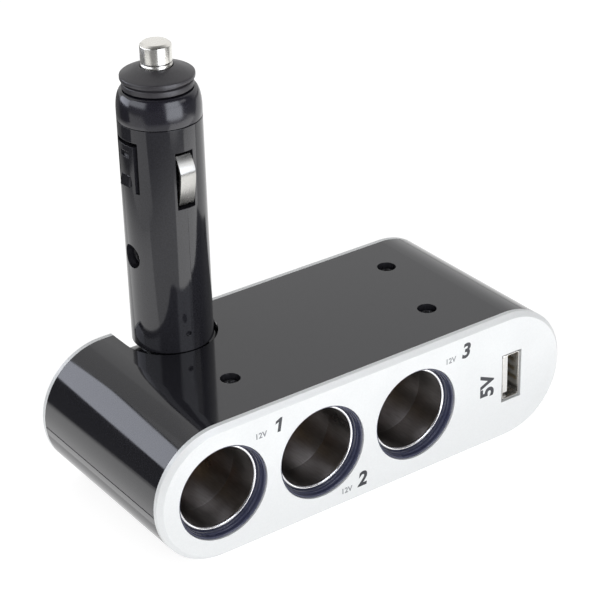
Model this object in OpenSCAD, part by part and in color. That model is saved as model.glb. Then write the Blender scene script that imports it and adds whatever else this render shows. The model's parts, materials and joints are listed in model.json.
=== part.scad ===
// Three-socket car splitter with one USB outlet and a swivelling plug arm.
// The origin is the centre of the body's underside: X along the sockets, Y to the rear, Z up.

/* [Body] */
// Width over both round ends
body_w = 125; // [122:0.5:150]
// Height, which is also the diameter of the round ends
body_h = 36.2; // [35.4:0.2:42]
// Depth over both end plates
body_d = 56.4; // [55:0.2:70]
// Wall of the moulded shells
wall = 2; // [1.6:0.1:2.4]
// How far the parting line lies below mid height
seam_drop = 1; // [0.4:0.1:2.5]
// Width and depth of the groove along the parting line
seam_groove = 0.3; // [0.2:0.05:0.5]

/* [End plates] */
// Thickness of an end plate
plate_t = 2.4; // [2:0.1:3]
// Bevel round the outer edge of an end plate
plate_bevel = 1.2; // [0.6:0.1:1.6]
// Length of the lip that locates a plate inside the shells
lip_l = 3; // [2.4:0.1:4]
// Thickness of that lip
lip_t = 1.2; // [0.8:0.1:1.4]
// Height of the bead that snaps into the shells
bead = 0.5; // [0.3:0.05:0.7]

/* [Sockets] */
// Centre of the left socket
first_socket_x = -44.3; // [-45:0.1:-44]
// Distance between socket centres
socket_pitch = 29.1; // [28.8:0.1:30]
// Radius of the round openings in the front plate
opening_r = 12.6; // [12.3:0.1:13]
// How far the bezel is set back from the plate
bezel_setback = 0.3; // [0:0.1:0.8]
// Radius of the flange behind the front plate
bezel_flange_r = 13.8; // [13.3:0.1:14]
// Depth of the bezel's funnel
funnel_l = 3; // [2:0.1:4.5]
// Length of the collar that holds the socket tube
collar_l = 5; // [3:0.1:8]
// Inside radius of a socket tube
socket_r = 10.65; // [10.5:0.05:10.8]
// Wall of a socket tube
tube_t = 0.65; // [0.5:0.05:0.8]
// Length of the narrower end of a socket tube, and its step inwards
seat_l = 3.5; // [3:0.1:6]
seat_step = 0.35; // [0.3:0.05:0.5]
// Room for the bus bar between the tubes and the arm's pocket
bus_room = 2.2; // [2:0.1:4]
// Radius of the stud that carries a centre contact
stud_r = 1.5; // [1:0.1:2]
// Radius of the centre contact
contact_r = 4.2; // [3:0.1:5]
// Radius of the insulating washer outside the tube
washer_r = 9; // [7:0.1:10]

/* [USB outlet] */
// Centre of the outlet across the front
usb_x = 45.4; // [44:0.1:47]
// Width and height of its opening in the plate
usb_open_w = 6.5; // [6.1:0.1:7.2]
usb_open_h = 14; // [13.5:0.1:15]
// Thickness and height of the metal shell
usb_t = 5.7; // [5.6:0.1:6]
usb_h = 13.1; // [12.8:0.1:13.3]
// Length of the metal shell
usb_l = 14; // [12:0.5:17]
// Sheet thickness
usb_sheet = 0.35; // [0.25:0.05:0.45]
// Thickness of the tongue
tongue_t = 1.8; // [1.6:0.05:1.9]

/* [Plug arm] */
// Place of the plug's axis across the body
arm_x = -28.7; // [-28.9:0.1:-28.5]
// Distance of the plug's axis from the rear face
arm_inset = 11; // [10.8:0.1:11.4]
// Depth of the pivot below the top face
pivot_drop = 11.5; // [11.3:0.1:12.2]
// Radius of the plug
plug_r = 10.4; // [10.2:0.05:10.5]
// Wall of the plug's halves
plug_wall = 2; // [1.6:0.1:2.2]
// Radius of the cross barrel that turns in the body
knuckle_r = 10; // [9.6:0.1:10.1]
// Half the length of that barrel
knuckle_half = 12.1; // [11.8:0.1:12.3]
// Bevel on the barrel's ends
knuckle_bevel = 1.2; // [0.8:0.1:2]
// Radius of the neck below the plug's foot
neck_r = 9; // [8.6:0.1:9.4]
// Height of the plug's foot above the pivot
foot_rise = 10.8; // [10.7:0.1:12]
// Length of the plug from its foot to its shoulder
plug_l = 60.5; // [59.5:0.5:66]
// Radius and length of a trunnion
trunnion_r = 5; // [4.4:0.1:5.6]
trunnion_l = 3; // [2.8:0.1:3.4]
// Play of a trunnion in its bearing
bearing_play = 0.06; // [0.03:0.01:0.1]

/* [Plug nose] */
// Height of the screw ring
ring_h = 7.4; // [7:0.1:8.5]
// Height of the ring's straight skirt
ring_skirt = 2.2; // [1:0.1:3]
// Radius of the ring's upper edge
ring_top_r = 8.9; // [8.6:0.1:9.2]
// Radius and height of the nose cap's lower band
band_r = 8.7; // [8.4:0.1:8.9]
band_h = 1.4; // [1:0.1:1.8]
// Radius and height of the nose cap's rim
rim_r = 9.1; // [8.9:0.1:9.3]
rim_h = 1.2; // [1:0.1:1.6]
// Height of the cone above the rim
cone_h = 1.8; // [1.5:0.1:2.4]
// Radius of the tip contact
tip_r = 3.85; // [3.4:0.05:3.9]
// Height of the tip above the cone
tip_l = 5.85; // [4.6:0.05:6.2]
// Bevel on the tip
tip_bevel = 0.75; // [0.4:0.05:1]
// Travel of the tip
tip_travel = 2; // [1.5:0.1:2.2]

/* [Plug details] */
// Radius and length of the fuse
fuse_r = 3.2; // [3:0.05:3.25]
fuse_l = 30; // [29:0.5:31]
// Window of a side contact: width, lower and upper edge below the shoulder
window_w = 4.9; // [4.5:0.1:5.5]
window_low = 20.8; // [20.3:0.1:21.5]
window_high = 6; // [5.5:0.1:6.3]
// Side contact: width, sheet thickness, stand-out past the plug
leaf_w = 4.2; // [3.6:0.1:4.3]
leaf_t = 0.6; // [0.4:0.05:0.7]
leaf_out = 1.3; // [0.8:0.1:1.5]
// Springy side tongue: width over its slots, lower and upper end below the shoulder, slot width
flap_w = 8.8; // [8:0.1:9.4]
flap_low = 16.8; // [15.5:0.1:18.5]
flap_high = 3.5; // [3.3:0.1:5]
flap_slot = 1.2; // [0.8:0.1:1.4]
// Ramp near the foot of that tongue: width, height and stand-out at its lower end
ramp_w = 3.6; // [3:0.1:4.4]
ramp_h = 2.8; // [2:0.1:3.4]
ramp_out = 0.6; // [0.3:0.05:0.8]
// Grip notch near its upper end: width, height and depth
notch_w = 3.4; // [2.5:0.1:4]
notch_h = 1.6; // [1:0.1:2]
notch_d = 0.6; // [0.4:0.05:0.9]
// Plug screw: height below the shoulder, radius and depth of its recess
plug_screw_drop = 34.6; // [34.3:0.1:36.5]
recess_r = 3.1; // [2.9:0.1:3.3]
recess_d = 3.6; // [3:0.1:4]
// Moulding dimple near the foot: height above the foot, distance from the parting line, radius
dimple_rise = 5.7; // [5:0.1:8]
dimple_x = 1.5; // [1.3:0.1:2.5]
dimple_r = 0.7; // [0.5:0.1:0.9]

/* [Case screws] */
// Place of the left screw along the depth, measured from the centre
left_screw_y = -10.4; // [-10.8:0.1:-10]
// Place of the right front screw
right_screw_x = 30.1; // [29.6:0.1:31]
right_screw_y = -12.1; // [-12.6:0.1:-11]
// Place of the right rear screw
rear_screw_x = 36.3; // [35:0.1:37]
rear_screw_y = 12.9; // [11:0.1:14]
// Radius of the counterbore, its depth, and the head inside it
bore_r = 2.55; // [2.4:0.05:2.7]
bore_d = 2.8; // [2.4:0.1:3.4]
head_r = 2.3; // [2.1:0.05:2.35]
head_h = 1.6; // [1.2:0.1:1.8]
// Radius and length of the shank
shank_r = 1.3; // [1.1:0.05:1.4]
shank_l = 24; // [22:0.5:26]

/* [Electronics] */
// Thickness of the circuit board
board_t = 1.6; // [1.2:0.1:1.8]
// Height of the circuit board, and the room in front of it and behind it
board_h = 25.8; // [24:0.1:26.2]
board_front = 1.3; // [1:0.1:2]
board_rear = 6.3; // [5:0.1:8]
// Radius and length of the inductor
inductor_r = 4.5; // [4:0.1:5]
inductor_l = 6; // [5:0.1:7]
// Radius and length of a capacitor
capacitor_r = 3.15; // [2.5:0.05:3.2]
capacitor_l = 7.5; // [6:0.1:7.8]
// Side and thickness of the converter chip
chip_w = 6; // [5:0.1:7]
chip_t = 1.6; // [1.2:0.1:2]
// Thickness of the bus bars
bar_t = 0.6; // [0.4:0.05:0.65]
// Height of the positive bus bar
bar_h = 5; // [4:0.1:6]
// Width of the negative bus bar
strip_w = 3; // [2.5:0.1:3.2]
// Radius of the inner leads
lead_r = 0.9; // [0.7:0.05:1]

/* [Hidden] */
$fn = 96;

// One overrun serves every cut
over = 1;
// Clearances: pressed pieces, fixed pieces, pieces that move, and the least gap kept for sight
close = 0.05;
fit = 0.15;
run = 0.1;
gap = 0.3;

// The body's own frame
end_r = body_h / 2;
half_run = body_w / 2 - end_r;
half_d = body_d / 2;
mid_z = body_h / 2;
seam_z = mid_z - seam_drop;
plate_in = half_d - plate_t;
plate_rim = plate_t - plate_bevel;
inner_r = end_r - wall;
lip_r = inner_r - fit;
lip_back = plate_in - lip_l;
bead_w = lip_l / 3;
bead_y = lip_back + bead_w / 2;
ceiling_z = body_h - wall;

// The arm's frame and the pocket it turns in
arm_y = half_d - arm_inset;
pivot_z = body_h - pivot_drop;
cheek_gap = 0.35;
cheek_t = 2;
pocket_half = knuckle_half + cheek_gap;
pocket_out = pocket_half + cheek_t;
pocket_wall = 1.2;
knuckle_gap = 0.4;
pocket_front = arm_y - knuckle_r - knuckle_gap;
pocket_face = pocket_front - pocket_wall;
trough_gap = 0.5;
trough_r = plug_r + trough_gap;
floor_z = pivot_z - trough_r;
floor_t = 1.5;
slot_r = pocket_half;
slot_y = arm_y - plug_r - gap + slot_r;
notch_corner = 2;
foot_z = pivot_z + foot_rise;
foot_round = 0.8;
shoulder_z = foot_z + plug_l;
cavity_r = plug_r - plug_wall;
knuckle_wall = 3;
knuckle_bore = knuckle_r - knuckle_wall;
neck_wall = 2.5;
neck_bore = neck_r - neck_wall;
lead_room = 0.7;
trunnion_bore = lead_r + lead_room;
trunnion_end = knuckle_half + trunnion_l;

// The sockets, from front to back
bezel_front = -half_d + bezel_setback;
lip_y = -half_d + funnel_l;
collar_back = lip_y + collar_l;
tube_r = socket_r + tube_t;
collar_r = tube_r + close;
collar_t = 1.3;
bezel_flange_t = 1.4;
plate_back = plate_t - bezel_setback;
tube_back = pocket_face - bus_room;
disc_t = 1;
washer_t = 0.7;
seat_r = socket_r - seat_step;
step_y = tube_back - tube_t - seat_l;
bus_front = tube_back + washer_t;
bus_back = bus_front + bar_t;
rivet_h = 0.5;
rivet_share = 1.3;
hub_rim = 0.8;
hub_r = contact_r + hub_rim;
contact_dome_h = 1.2;
saddle_r = tube_r + run;
rib_t = 1.6;
rib_gap = 0.6;
rib_right = first_socket_x + 2 * socket_pitch + opening_r + wall;
strip_top = mid_z - tube_r;
strip_bottom = strip_top - bar_t;
strip_back = tube_back - 2 * run;
strip_front = strip_back - strip_w;
rear_rib_y = strip_front - rib_gap - rib_t / 2;
front_rib_y = (rear_rib_y - lip_back) / 2;
tab_half = 1.9;

// The nose, from the shoulder up
ring_low = shoulder_z + run;
ring_high = ring_low + ring_h;
ring_lip = 2;
thread_r = 7.65;
flange_room = 2.2;
thread_top = ring_low + ring_h - ring_lip - flange_room;
flange_r = thread_r;
flange_low = thread_top + run;
flange_high = ring_high - ring_lip - run;
cap_neck_r = 6.4;
band_low = ring_high + gap;
band_high = band_low + band_h;
groove_h = 0.8;
rim_low = band_high + groove_h;
rim_high = rim_low + rim_h;
cone_high = rim_high + cone_h;
groove_d = 0.6;
groove_r = band_r - groove_d;
tip_top = cone_high + tip_l;
tip_hole_r = tip_r + run;
tip_flange_r = 4.6;
tip_flange_t = 1;
cap_bore_r = tip_flange_r + 2 * run;
cap_roof = rim_high;
tip_seat = cap_roof - tip_flange_t;
fuse_top = tip_seat;
fuse_low = fuse_top - fuse_l;
fuse_hole_r = fuse_r + run;
fuse_cap_l = 6;
fuse_sheet = 0.2;
fuse_end_t = 0.6;
glass_t = 0.7;

// The fuse's spring and terminal, and the ground ring
spring_l = 4 * tip_travel;
spring_wire = 0.35;
spring_r = fuse_r - 2 * spring_wire;
spring_turns = 5;
spring_sides = 6;
rings_per_turn = 8;
spring_rings = spring_turns * rings_per_turn;
spring_rise = spring_l - 2 * spring_wire;
terminal_t = 1.6;
terminal_r = fuse_r + 2 * run;
terminal_top = fuse_low - spring_l;
terminal_low = terminal_top - terminal_t;
shelf_t = 1.6;
shelf_low = terminal_low - shelf_t;
lug_t = 0.8;
lug_half = 1.2;
ground_rise = 1.3;
ground_low = terminal_top + ground_rise;
ground_h = 3;
ground_r = cavity_r - run;
ground_t = 0.5;
lead_x = 3;
lead_y = 5.4;
lead_rise = 4.5;
lead_bend_z = foot_z + lead_rise;

// Heights of the plug's windows, ribs and screw
window_z0 = shoulder_z - window_low;
window_z1 = shoulder_z - window_high;
flap_z0 = shoulder_z - flap_low;
flap_z1 = shoulder_z - flap_high;
ramp_rise = 1.4;
ramp_z = flap_z0 + ramp_rise;
notch_drop = 4.4;
notch_z = flap_z1 - notch_drop;
fuse_guide_rise = 2.8;
guide_z = window_z0 + fuse_guide_rise;
guide_t = 1.5;
guide_cut = 1.8;
bulkhead_gap = 0.5;
bulkhead_z = flap_z1 + bulkhead_gap;
screw_z = shoulder_z - plug_screw_drop;
boss_r = 4;
plug_head_r = recess_r - gap;
plug_head_h = 1.9;
plug_shank_end = 6;
leaf_inset = 1.2;
leaf_foot_r = cavity_r - leaf_inset;
leaf_foot_rise = 1;
leaf_foot_z = ground_low + leaf_foot_rise;
leaf_hem_r = 0.5;
leaf_hem_rise = 1.5;
leaf_pivot_z = leaf_foot_z + leaf_hem_rise;
leaf_apex_drop = 5.8;
leaf_apex_z = window_z1 - leaf_apex_drop;
leaf_top_drop = 1;
leaf_top_z = window_z1 - leaf_top_drop;
leaf_top_inset = 0.8;
leaf_top_r = plug_r - leaf_top_inset;
leaf_bend_share = 0.4;
leaf_knee_rise = 2.6;
leaf_knee_z = window_z0 + leaf_knee_rise;

// The circuit board and what it carries
board_x = usb_x + usb_t / 2;
board_y = -plate_in + board_front;
board_l = 2 * plate_in - board_front - board_rear;
board_z = mid_z - board_h / 2;
guide_w = 3;
guide_side = 1.75;
guide_rise = 2.8;
guide_first = 4.5;
guide_last = 7.5;
guide_places = [guide_first, board_l - guide_last];
parts_x = board_x + board_t;
inductor_share = 0.42;
flange_share = 0.167;
winding_share = 0.88;
capacitor_share = 0.64;
chip_share = 0.82;
tab_gap = 0.7;
tab_x = first_socket_x - tab_half - tab_gap;

// The tongue of the outlet and its contacts
tongue_gap = 0.7;
tongue_x = usb_x - usb_t / 2 + usb_sheet + tongue_gap;
tongue_base = 4;
tongue_setback = 1.6;
tongue_front = -half_d + tongue_setback;
tongue_half = usb_h / 2 - usb_sheet - tongue_gap;
usb_back = -half_d + bezel_setback + usb_l - usb_sheet;
pins = 4;
pin_w = 1;
pin_t = 0.18;
pin_pitch = 2.3;
pin_setback = 0.5;
pin_step = 1;

// The screws and their bosses
boss_low_r = 2.85;
boss_high_r = 3.6;
boss_step_gap = 0.8;
boss_step_z = mid_z + tube_r + boss_step_gap;
screw_places = [
    [first_socket_x + socket_pitch / 2, left_screw_y],
    [right_screw_x, right_screw_y],
    [rear_screw_x, rear_screw_y]];
head_z = body_h - bore_d;
shank_low = head_z - shank_l;
// Shares of a head's height or radius
side_share = 0.6;
crown_share = 0.7;
slot_share = 0.28;
cross_share = 1.1;

function socket_x(i) = first_socket_x + i * socket_pitch;

// Box between two corners
module block(low, high) {
    translate(low) cube(high - low);
}

module rod_x(y, z, r, x0, x1) {
    translate([x0, y, z]) rotate([0, 90, 0]) cylinder(r = r, h = x1 - x0);
}

module rod_y(x, z, r, y0, y1) {
    translate([x, y0, z]) rotate([-90, 0, 0]) cylinder(r = r, h = y1 - y0);
}

module rod_z(x, y, r, z0, z1) {
    translate([x, y, z0]) cylinder(r = r, h = z1 - z0);
}

// The body's outline with round ends, drawn in the plane of the front face
module outline(r) {
    for (side = [-1, 1]) translate([side * half_run, mid_z]) circle(r = r);
    translate([-half_run, mid_z - r]) square([2 * half_run, 2 * r]);
}

module obround(r, y0, y1) {
    translate([0, y1, 0]) rotate([90, 0, 0]) linear_extrude(y1 - y0) outline(r);
}

// End plate at the rear: bevelled slab, locating lip and snap bead
module plate_blank() {
    for (side = [-1, 1]) {
        translate([side * half_run, plate_in, mid_z]) rotate([-90, 0, 0]) {
            cylinder(r = end_r, h = plate_rim);
            translate([0, 0, plate_rim])
                cylinder(r1 = end_r, r2 = end_r - plate_bevel, h = plate_bevel);
        }
    }
    translate([-half_run, 0, 0]) rotate([90, 0, 90]) linear_extrude(2 * half_run)
        polygon([[plate_in, 0], [plate_in, body_h],
            [plate_in + plate_rim, body_h], [half_d, body_h - plate_bevel],
            [half_d, plate_bevel], [plate_in + plate_rim, 0]]);
}

module plate_lip() {
    difference() {
        union() {
            obround(lip_r, lip_back, plate_in + plate_rim / 2);
            obround(lip_r + bead, bead_y, bead_y + bead_w);
        }
        obround(lip_r - lip_t, lip_back - over, plate_in);
    }
}

// Full shell with its wall, the bead grooves and the parting groove
module shell_wall() {
    difference() {
        obround(end_r, -plate_in, plate_in);
        obround(inner_r, -plate_in - over, plate_in + over);
        for (side = [0, 1]) mirror([0, side, 0])
            obround(lip_r + bead + fit, bead_y - run, bead_y + bead_w + run);
        difference() {
            block([-body_w, -half_d, seam_z - seam_groove / 2],
                [body_w, half_d, seam_z + seam_groove / 2]);
            obround(end_r - seam_groove, -half_d - over, half_d + over);
        }
    }
}

// Ribs across the body that hold the socket tubes
module tube_ribs() {
    for (place = [front_rib_y, rear_rib_y])
        block([-body_w / 2, place - rib_t / 2, 0], [rib_right, place + rib_t / 2, body_h]);
}

module tube_cuts() {
    for (i = [0:2]) rod_y(socket_x(i), mid_z, saddle_r, -half_d, tube_back + run);
}

// Guides that hold the circuit board on edge
module board_guides(z0, z1) {
    for (place = guide_places) {
        block([board_x - guide_side, board_y + place - guide_w / 2, z0],
            [board_x + board_t + guide_side, board_y + place + guide_w / 2, z1]);
    }
}

module board_slot() {
    block([board_x - run, board_y - over, board_z],
        [board_x + board_t + run, board_y + board_l + over, board_z + board_h]);
}

// Walls of the pocket between two heights, still solid inside
module pocket_block(z0, z1) {
    block([arm_x - pocket_out, pocket_face, z0], [arm_x + pocket_out, plate_in, z1]);
}

// Space that the knuckle and the folded plug sweep
module pocket_space() {
    intersection() {
        rod_x(arm_y, pivot_z, trough_r, arm_x - pocket_half, arm_x + pocket_half);
        block([arm_x - pocket_half, pocket_front, 0],
            [arm_x + pocket_half, half_d + over, body_h]);
    }
    block([arm_x - pocket_half, pocket_front, pivot_z],
        [arm_x + pocket_half, half_d + over, ceiling_z]);
    block([arm_x - pocket_half, arm_y, floor_z],
        [arm_x + pocket_half, half_d + over, ceiling_z]);
}

module bearing_holes() {
    rod_x(arm_y, pivot_z, trunnion_r + bearing_play,
        arm_x - pocket_out - over, arm_x + pocket_out + over);
}

// Slot in the top face, round in front and open to the rear
module top_slot() {
    rod_z(arm_x, slot_y, slot_r, ceiling_z - over, body_h + over);
    block([arm_x - slot_r, slot_y, ceiling_z - over],
        [arm_x + slot_r, half_d + over, body_h + over]);
}

module upper_shell() {
    color([0.12, 0.12, 0.13]) difference() {
        union() {
            intersection() {
                shell_wall();
                block([-body_w, -half_d, seam_z], [body_w, half_d, body_h + over]);
            }
            intersection() {
                obround(inner_r + wall / 2, gap - lip_back, lip_back - gap);
                union() {
                    intersection() {
                        tube_ribs();
                        block([-body_w, -half_d, seam_z], [body_w, half_d, body_h]);
                    }
                    for (place = screw_places) {
                        rod_z(place[0], place[1], boss_low_r, seam_z, body_h);
                        rod_z(place[0], place[1], boss_high_r, boss_step_z, body_h);
                    }
                    board_guides(board_z + board_h - guide_rise, body_h);
                }
            }
            intersection() {
                obround(inner_r + wall / 2, -half_d, plate_in);
                pocket_block(pivot_z, body_h);
            }
        }
        tube_cuts();
        board_slot();
        pocket_space();
        bearing_holes();
        top_slot();
        for (place = screw_places) {
            rod_z(place[0], place[1], shank_r + fit, seam_z - over, body_h);
            rod_z(place[0], place[1], bore_r, head_z, body_h + over);
        }
    }
}

module lower_shell() {
    color([0.1, 0.1, 0.11]) difference() {
        union() {
            intersection() {
                shell_wall();
                block([-body_w, -half_d, -over], [body_w, half_d, seam_z]);
            }
            intersection() {
                obround(inner_r + wall / 2, gap - lip_back, lip_back - gap);
                union() {
                    intersection() {
                        tube_ribs();
                        block([-body_w, -half_d, 0], [body_w, half_d, seam_z]);
                    }
                    for (place = screw_places)
                        rod_z(place[0], place[1], boss_low_r, 0, seam_z);
                    board_guides(0, board_z + guide_rise);
                    for (i = [0:2]) {
                        block([socket_x(i) + socket_pitch / 2 - tab_half, strip_front, 0],
                            [socket_x(i) + socket_pitch / 2 + tab_half, strip_back, strip_bottom]);
                    }
                }
            }
            difference() {
                intersection() {
                    obround(inner_r + wall / 2, -half_d, plate_in);
                    pocket_block(0, pivot_z);
                }
                block([arm_x - pocket_half, pocket_front, wall],
                    [arm_x + pocket_half, plate_in + over, floor_z - floor_t]);
            }
        }
        tube_cuts();
        board_slot();
        pocket_space();
        bearing_holes();
        for (place = screw_places)
            rod_z(place[0], place[1], shank_r, shank_low, seam_z + over);
    }
}

module front_plate() {
    color([0.86, 0.87, 0.89]) difference() {
        mirror([0, 1, 0]) union() {
            plate_blank();
            plate_lip();
        }
        for (i = [0:2])
            rod_y(socket_x(i), mid_z, opening_r, -half_d - over, -plate_in + over);
        block([usb_x - usb_open_w / 2, -half_d - over, mid_z - usb_open_h / 2],
            [usb_x + usb_open_w / 2, -plate_in + over, mid_z + usb_open_h / 2]);
    }
}

// Notch in the rear plate, with rounded lower corners
module rear_notch() {
    block([arm_x - slot_r + notch_corner, plate_in - over, floor_z],
        [arm_x + slot_r - notch_corner, half_d + over, body_h + over]);
    block([arm_x - slot_r, plate_in - over, floor_z + notch_corner],
        [arm_x + slot_r, half_d + over, body_h + over]);
    for (side = [-1, 1])
        rod_y(arm_x + side * (slot_r - notch_corner), floor_z + notch_corner,
            notch_corner, plate_in - over, half_d + over);
}

module rear_plate() {
    color([0.86, 0.87, 0.89]) difference() {
        union() {
            plate_blank();
            difference() {
                plate_lip();
                block([arm_x - pocket_out - gap, lip_back - over, -over],
                    [arm_x + pocket_out + gap, plate_in, body_h + over]);
            }
        }
        rear_notch();
    }
}

// Bezel: funnel in front, flange behind the plate, collar round the tube
module socket_bezel(i) {
    color([0.07, 0.08, 0.14])
    translate([socket_x(i), bezel_front, mid_z]) rotate([-90, 0, 0])
        rotate_extrude() polygon([
            [opening_r - gap, 0],
            [opening_r - close, gap],
            [opening_r - close, plate_back],
            [bezel_flange_r, plate_back],
            [bezel_flange_r, plate_back + bezel_flange_t],
            [collar_r + collar_t, plate_back + bezel_flange_t],
            [collar_r + collar_t, collar_back - bezel_front],
            [collar_r, collar_back - bezel_front],
            [collar_r, lip_y - bezel_front],
            [tube_r, lip_y - bezel_front]]);
}

// Tube with a rolled front edge, a narrower end and a bottom that holds the insulator
module socket_tube(i) {
    color([0.75, 0.75, 0.78])
    translate([socket_x(i), 0, mid_z]) rotate([-90, 0, 0]) rotate_extrude() {
        translate([socket_r + tube_t / 2, lip_y + tube_t / 2]) circle(r = tube_t / 2);
        polygon([
            [socket_r, lip_y + tube_t / 2],
            [tube_r, lip_y + tube_t / 2],
            [tube_r, tube_back],
            [hub_r, tube_back],
            [hub_r, tube_back - tube_t],
            [seat_r, tube_back - tube_t],
            [seat_r, step_y + seat_step],
            [socket_r, step_y]]);
    }
}

// Insulator: disc inside, hub through the bottom, washer outside
module socket_insulator(i) {
    color([0.35, 0.2, 0.12])
    translate([socket_x(i), 0, mid_z]) rotate([-90, 0, 0]) rotate_extrude()
        polygon([
            [stud_r, tube_back - tube_t - disc_t],
            [seat_r - fit, tube_back - tube_t - disc_t],
            [seat_r - fit, tube_back - tube_t],
            [hub_r, tube_back - tube_t],
            [hub_r, tube_back],
            [washer_r, tube_back],
            [washer_r, bus_front],
            [stud_r, bus_front]]);
}

// Domed contact on a stud riveted behind the bus bar
module centre_contact(i) {
    dome_h = contact_dome_h;
    dome_y = tube_back - tube_t - disc_t;
    sphere_r = (contact_r * contact_r + dome_h * dome_h) / (2 * dome_h);
    color([0.8, 0.68, 0.35]) {
        intersection() {
            translate([socket_x(i), dome_y - dome_h + sphere_r, mid_z]) sphere(r = sphere_r);
            rod_y(socket_x(i), mid_z, contact_r, dome_y - dome_h, dome_y);
        }
        rod_y(socket_x(i), mid_z, stud_r, dome_y - dome_h / 2, bus_back + rivet_h / 2);
        rod_y(socket_x(i), mid_z, stud_r * rivet_share, bus_back, bus_back + rivet_h);
    }
}

module usb_shell() {
    front = -half_d + bezel_setback;
    color([0.8, 0.8, 0.82]) difference() {
        block([usb_x - usb_t / 2, front, mid_z - usb_h / 2],
            [usb_x + usb_t / 2, front + usb_l, mid_z + usb_h / 2]);
        block([usb_x - usb_t / 2 + usb_sheet, front - over, mid_z - usb_h / 2 + usb_sheet],
            [usb_x + usb_t / 2 - usb_sheet, front + usb_l - usb_sheet,
            mid_z + usb_h / 2 - usb_sheet]);
    }
}

// Tongue with its base block at the back of the metal shell
module usb_tongue() {
    color([0.9, 0.9, 0.88]) {
        block([tongue_x, tongue_front, mid_z - tongue_half],
            [tongue_x + tongue_t, usb_back, mid_z + tongue_half]);
        block([usb_x - usb_t / 2 + usb_sheet, usb_back - tongue_base,
            mid_z - usb_h / 2 + usb_sheet],
            [usb_x + usb_t / 2 - usb_sheet, usb_back, mid_z + usb_h / 2 - usb_sheet]);
    }
}

// Four contact strips, the two outer ones longer
module usb_contacts() {
    last = pins - 1;
    color([0.83, 0.7, 0.35]) for (k = [0:last]) {
        place = (k - last / 2) * pin_pitch;
        setback = (k == 0 || k == last) ? pin_setback : pin_setback + pin_step;
        block([tongue_x + tongue_t, tongue_front + setback, mid_z + place - pin_w / 2],
            [tongue_x + tongue_t + pin_t, usb_back - tongue_base, mid_z + place + pin_w / 2]);
    }
}

module circuit_board() {
    color([0.1, 0.35, 0.18])
        block([board_x, board_y, board_z], [board_x + board_t, board_y + board_l, board_z + board_h]);
}

// Drum core with its winding between two flanges
module inductor() {
    flange_t = inductor_l * flange_share;
    place_y = board_y + board_l * inductor_share;
    color([0.3, 0.22, 0.15]) {
        rod_x(place_y, mid_z, inductor_r, parts_x, parts_x + flange_t);
        rod_x(place_y, mid_z, inductor_r * winding_share, parts_x + flange_t / 2,
            parts_x + inductor_l - flange_t / 2);
        rod_x(place_y, mid_z, inductor_r, parts_x + inductor_l - flange_t,
            parts_x + inductor_l);
    }
}

module capacitors() {
    color([0.16, 0.16, 0.3]) for (side = [-1, 1]) {
        rod_x(board_y + board_l * capacitor_share, mid_z + side * (capacitor_r + gap), capacitor_r,
            parts_x, parts_x + capacitor_l);
    }
}

module converter_chip() {
    color([0.08, 0.08, 0.08])
        block([parts_x, board_y + board_l * chip_share - chip_w / 2, mid_z - chip_w / 2],
            [parts_x + chip_t, board_y + board_l * chip_share + chip_w / 2,
            mid_z + chip_w / 2]);
}

// Strip across the backs of the sockets with a raised tab for the lead
module positive_bus_bar() {
    color([0.8, 0.65, 0.3]) difference() {
        union() {
            block([tab_x - tab_half, bus_front, mid_z - bar_h / 2],
                [board_x, bus_back, mid_z + bar_h / 2]);
            block([tab_x - tab_half, bus_front, mid_z - bar_h / 2],
                [tab_x + tab_half, bus_back, pivot_z + tab_half]);
        }
        for (i = [0:2]) rod_y(socket_x(i), mid_z, stud_r, bus_front - over, bus_back + over);
    }
}

// Strip under the tubes with a tab that stands up between two of them
module negative_bus_bar() {
    post_x = socket_x(1) + socket_pitch / 2;
    color([0.7, 0.7, 0.72]) {
        block([socket_x(0) - tab_half, strip_front, strip_bottom],
            [board_x, strip_back, strip_top]);
        block([post_x - tab_half, strip_back - bar_t, strip_bottom],
            [post_x + tab_half, strip_back, pivot_z + tab_half]);
    }
}

// Turn what stands along Z so that it lies along a direction
module aim(direction) {
    rotate([0, acos(direction[2] / norm(direction)), atan2(direction[1], direction[0])]) children();
}

// Insulated lead along straight runs, with round corners at its bends
module lead(points) {
    for (k = [0:len(points) - 2]) {
        run_k = points[k + 1] - points[k];
        translate(points[k]) aim(run_k) cylinder(r = lead_r, h = norm(run_k));
        if (k > 0) translate(points[k]) aim(cross(points[k] - points[k - 1], run_k))
            sphere(r = lead_r);
    }
}

module positive_lead() {
    color("red") lead([
        [arm_x - trunnion_end - gap, arm_y, pivot_z],
        [tab_x, arm_y, pivot_z],
        [tab_x, bus_back, pivot_z]]);
}

module negative_lead() {
    post_x = socket_x(1) + socket_pitch / 2;
    color([0.15, 0.15, 0.15]) lead([
        [arm_x + trunnion_end + gap, arm_y, pivot_z],
        [post_x, arm_y, pivot_z],
        [post_x, strip_back, pivot_z]]);
}

// Pan head screw with a cross recess, standing on end
module cross_screw(r_head, h_head, r_shank, l_shank) {
    side_h = h_head * side_share;
    slot_w = r_head * slot_share;
    slot_l = r_head * cross_share;
    difference() {
        union() {
            cylinder(r = r_head, h = side_h);
            translate([0, 0, side_h])
                cylinder(r1 = r_head, r2 = r_head * crown_share, h = h_head - side_h);
        }
        translate([-slot_l / 2, -slot_w / 2, h_head / 2]) cube([slot_l, slot_w, h_head]);
        translate([-slot_w / 2, -slot_l / 2, h_head / 2]) cube([slot_w, slot_l, h_head]);
    }
    translate([0, 0, -l_shank]) cylinder(r = r_shank, h = l_shank + side_h / 2);
}

module case_screws() {
    color([0.1, 0.1, 0.1]) for (place = screw_places)
        translate([place[0], place[1], head_z]) cross_screw(head_r, head_h, shank_r, shank_l);
}

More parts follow.
